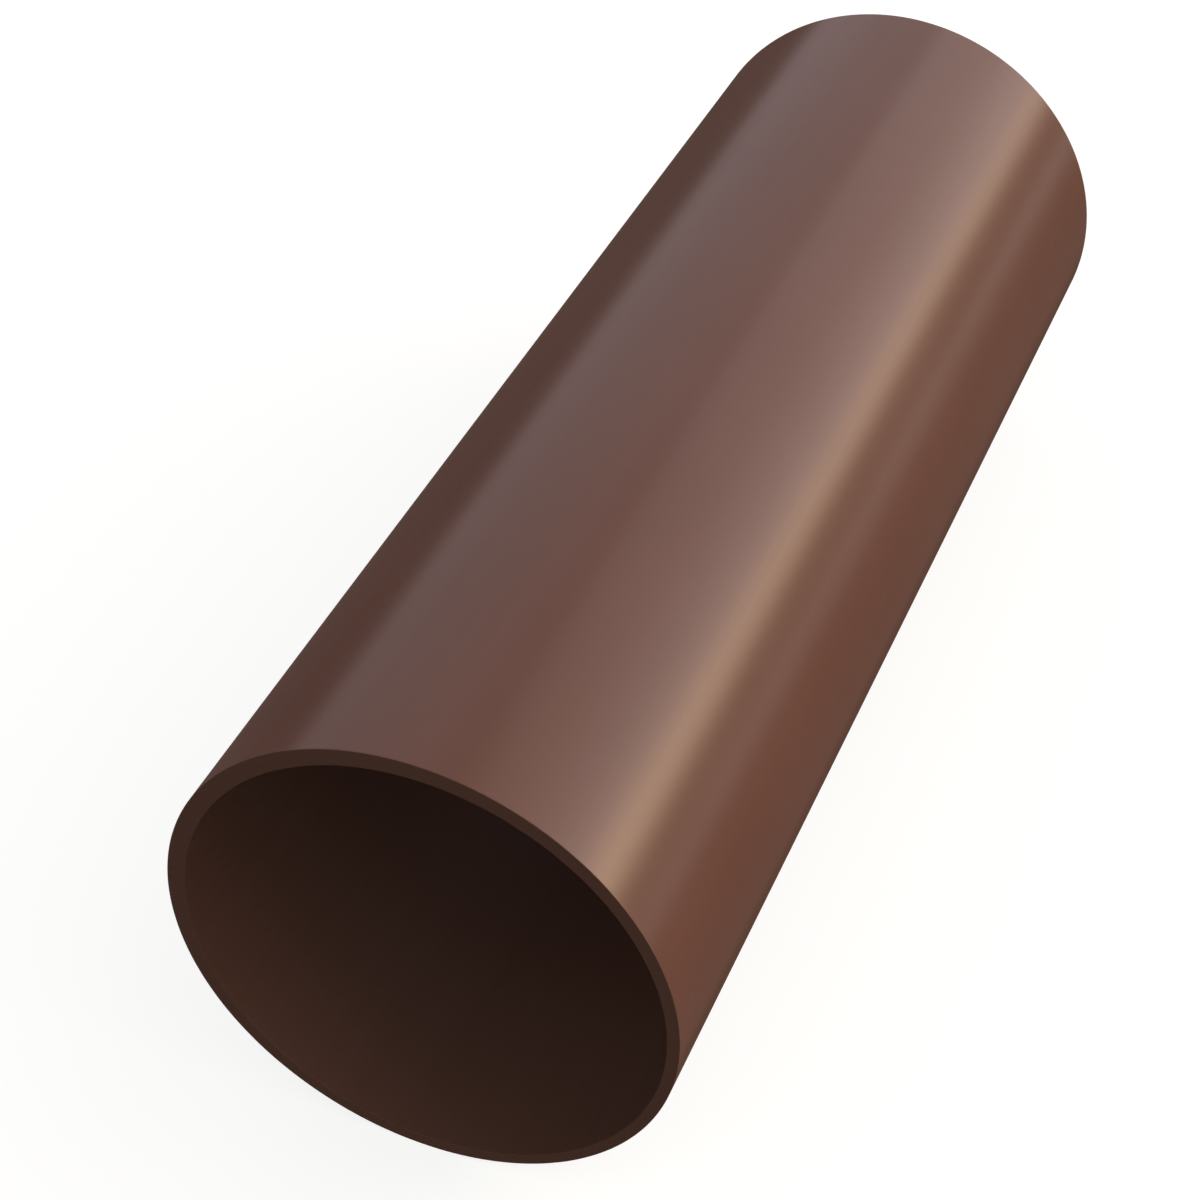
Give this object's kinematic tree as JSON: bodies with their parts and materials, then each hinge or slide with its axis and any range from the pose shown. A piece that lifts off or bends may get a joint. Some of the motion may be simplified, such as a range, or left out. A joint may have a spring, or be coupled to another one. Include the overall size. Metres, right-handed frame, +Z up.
{
  "type": "plastic downpipe",
  "caption": "Short plain-ended length of round brown plastic downpipe, open right through, lying on its side. It carries roof water and fits into sockets or pipe clips.",
  "frame": {"origin": "on the pipe's axis at mid length, 55 mm above the floor that it lies on", "axes": "+Y along the pipe's axis towards its far end, +Z up, +X across to the right"},
  "size_m": [0.11, 0.31, 0.11],
  "materials": {
    "brown_pvc": "chocolate brown rigid plastic, coloured right through: smooth semi-gloss outside with fine lengthwise extrusion lines, duller bore, matt sawn ends"
  },
  "bodies": {
    "root": {"downpipe": "brown_pvc"}
  },
  "joints": []
}
